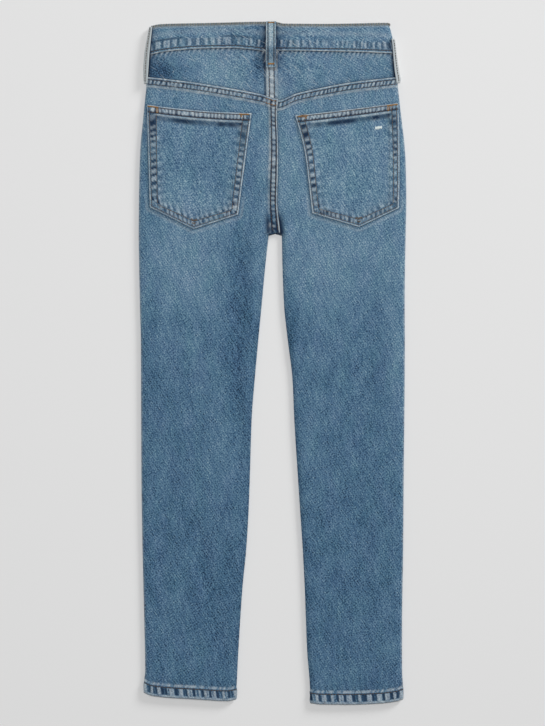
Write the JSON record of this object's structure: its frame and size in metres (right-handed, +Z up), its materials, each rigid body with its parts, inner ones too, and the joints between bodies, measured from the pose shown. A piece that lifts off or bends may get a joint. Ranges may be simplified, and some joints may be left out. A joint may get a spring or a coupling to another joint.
{
  "type": "slim five-pocket denim jeans, laid flat",
  "caption": "Slim tapered denim jeans lying flat on their front, back upwards, with yoke, waistband, belt loops and patch back pockets.",
  "frame": {"origin": "middle of the lying garment, on the surface that it lies on", "axes": "+Z up, +Y along the legs towards the waistband, +X towards the wearer's right leg"},
  "size_m": [0.326, 0.8322, 0.0133],
  "materials": {
    "denim": "mid-blue stone-washed cotton twill with pale worn seams and brown topstitching",
    "thread": "spun polyester topstitching thread, brown and golden brown",
    "button_metal": "antique brass, plain domed cap"
  },
  "bodies": {
    "root": {"back_leg_left": "denim", "back_leg_right": "denim", "yoke_left": "denim", "yoke_right": "denim", "back_pocket_left": "denim", "back_pocket_right": "denim", "front_leg_left": "denim", "front_leg_right": "denim", "waistband": "denim", "belt_loop_centre": "denim", "belt_loop_left": "denim", "belt_loop_right": "denim", "fly_shield": "denim", "waist_button": "button_metal"}
  },
  "joints": []
}
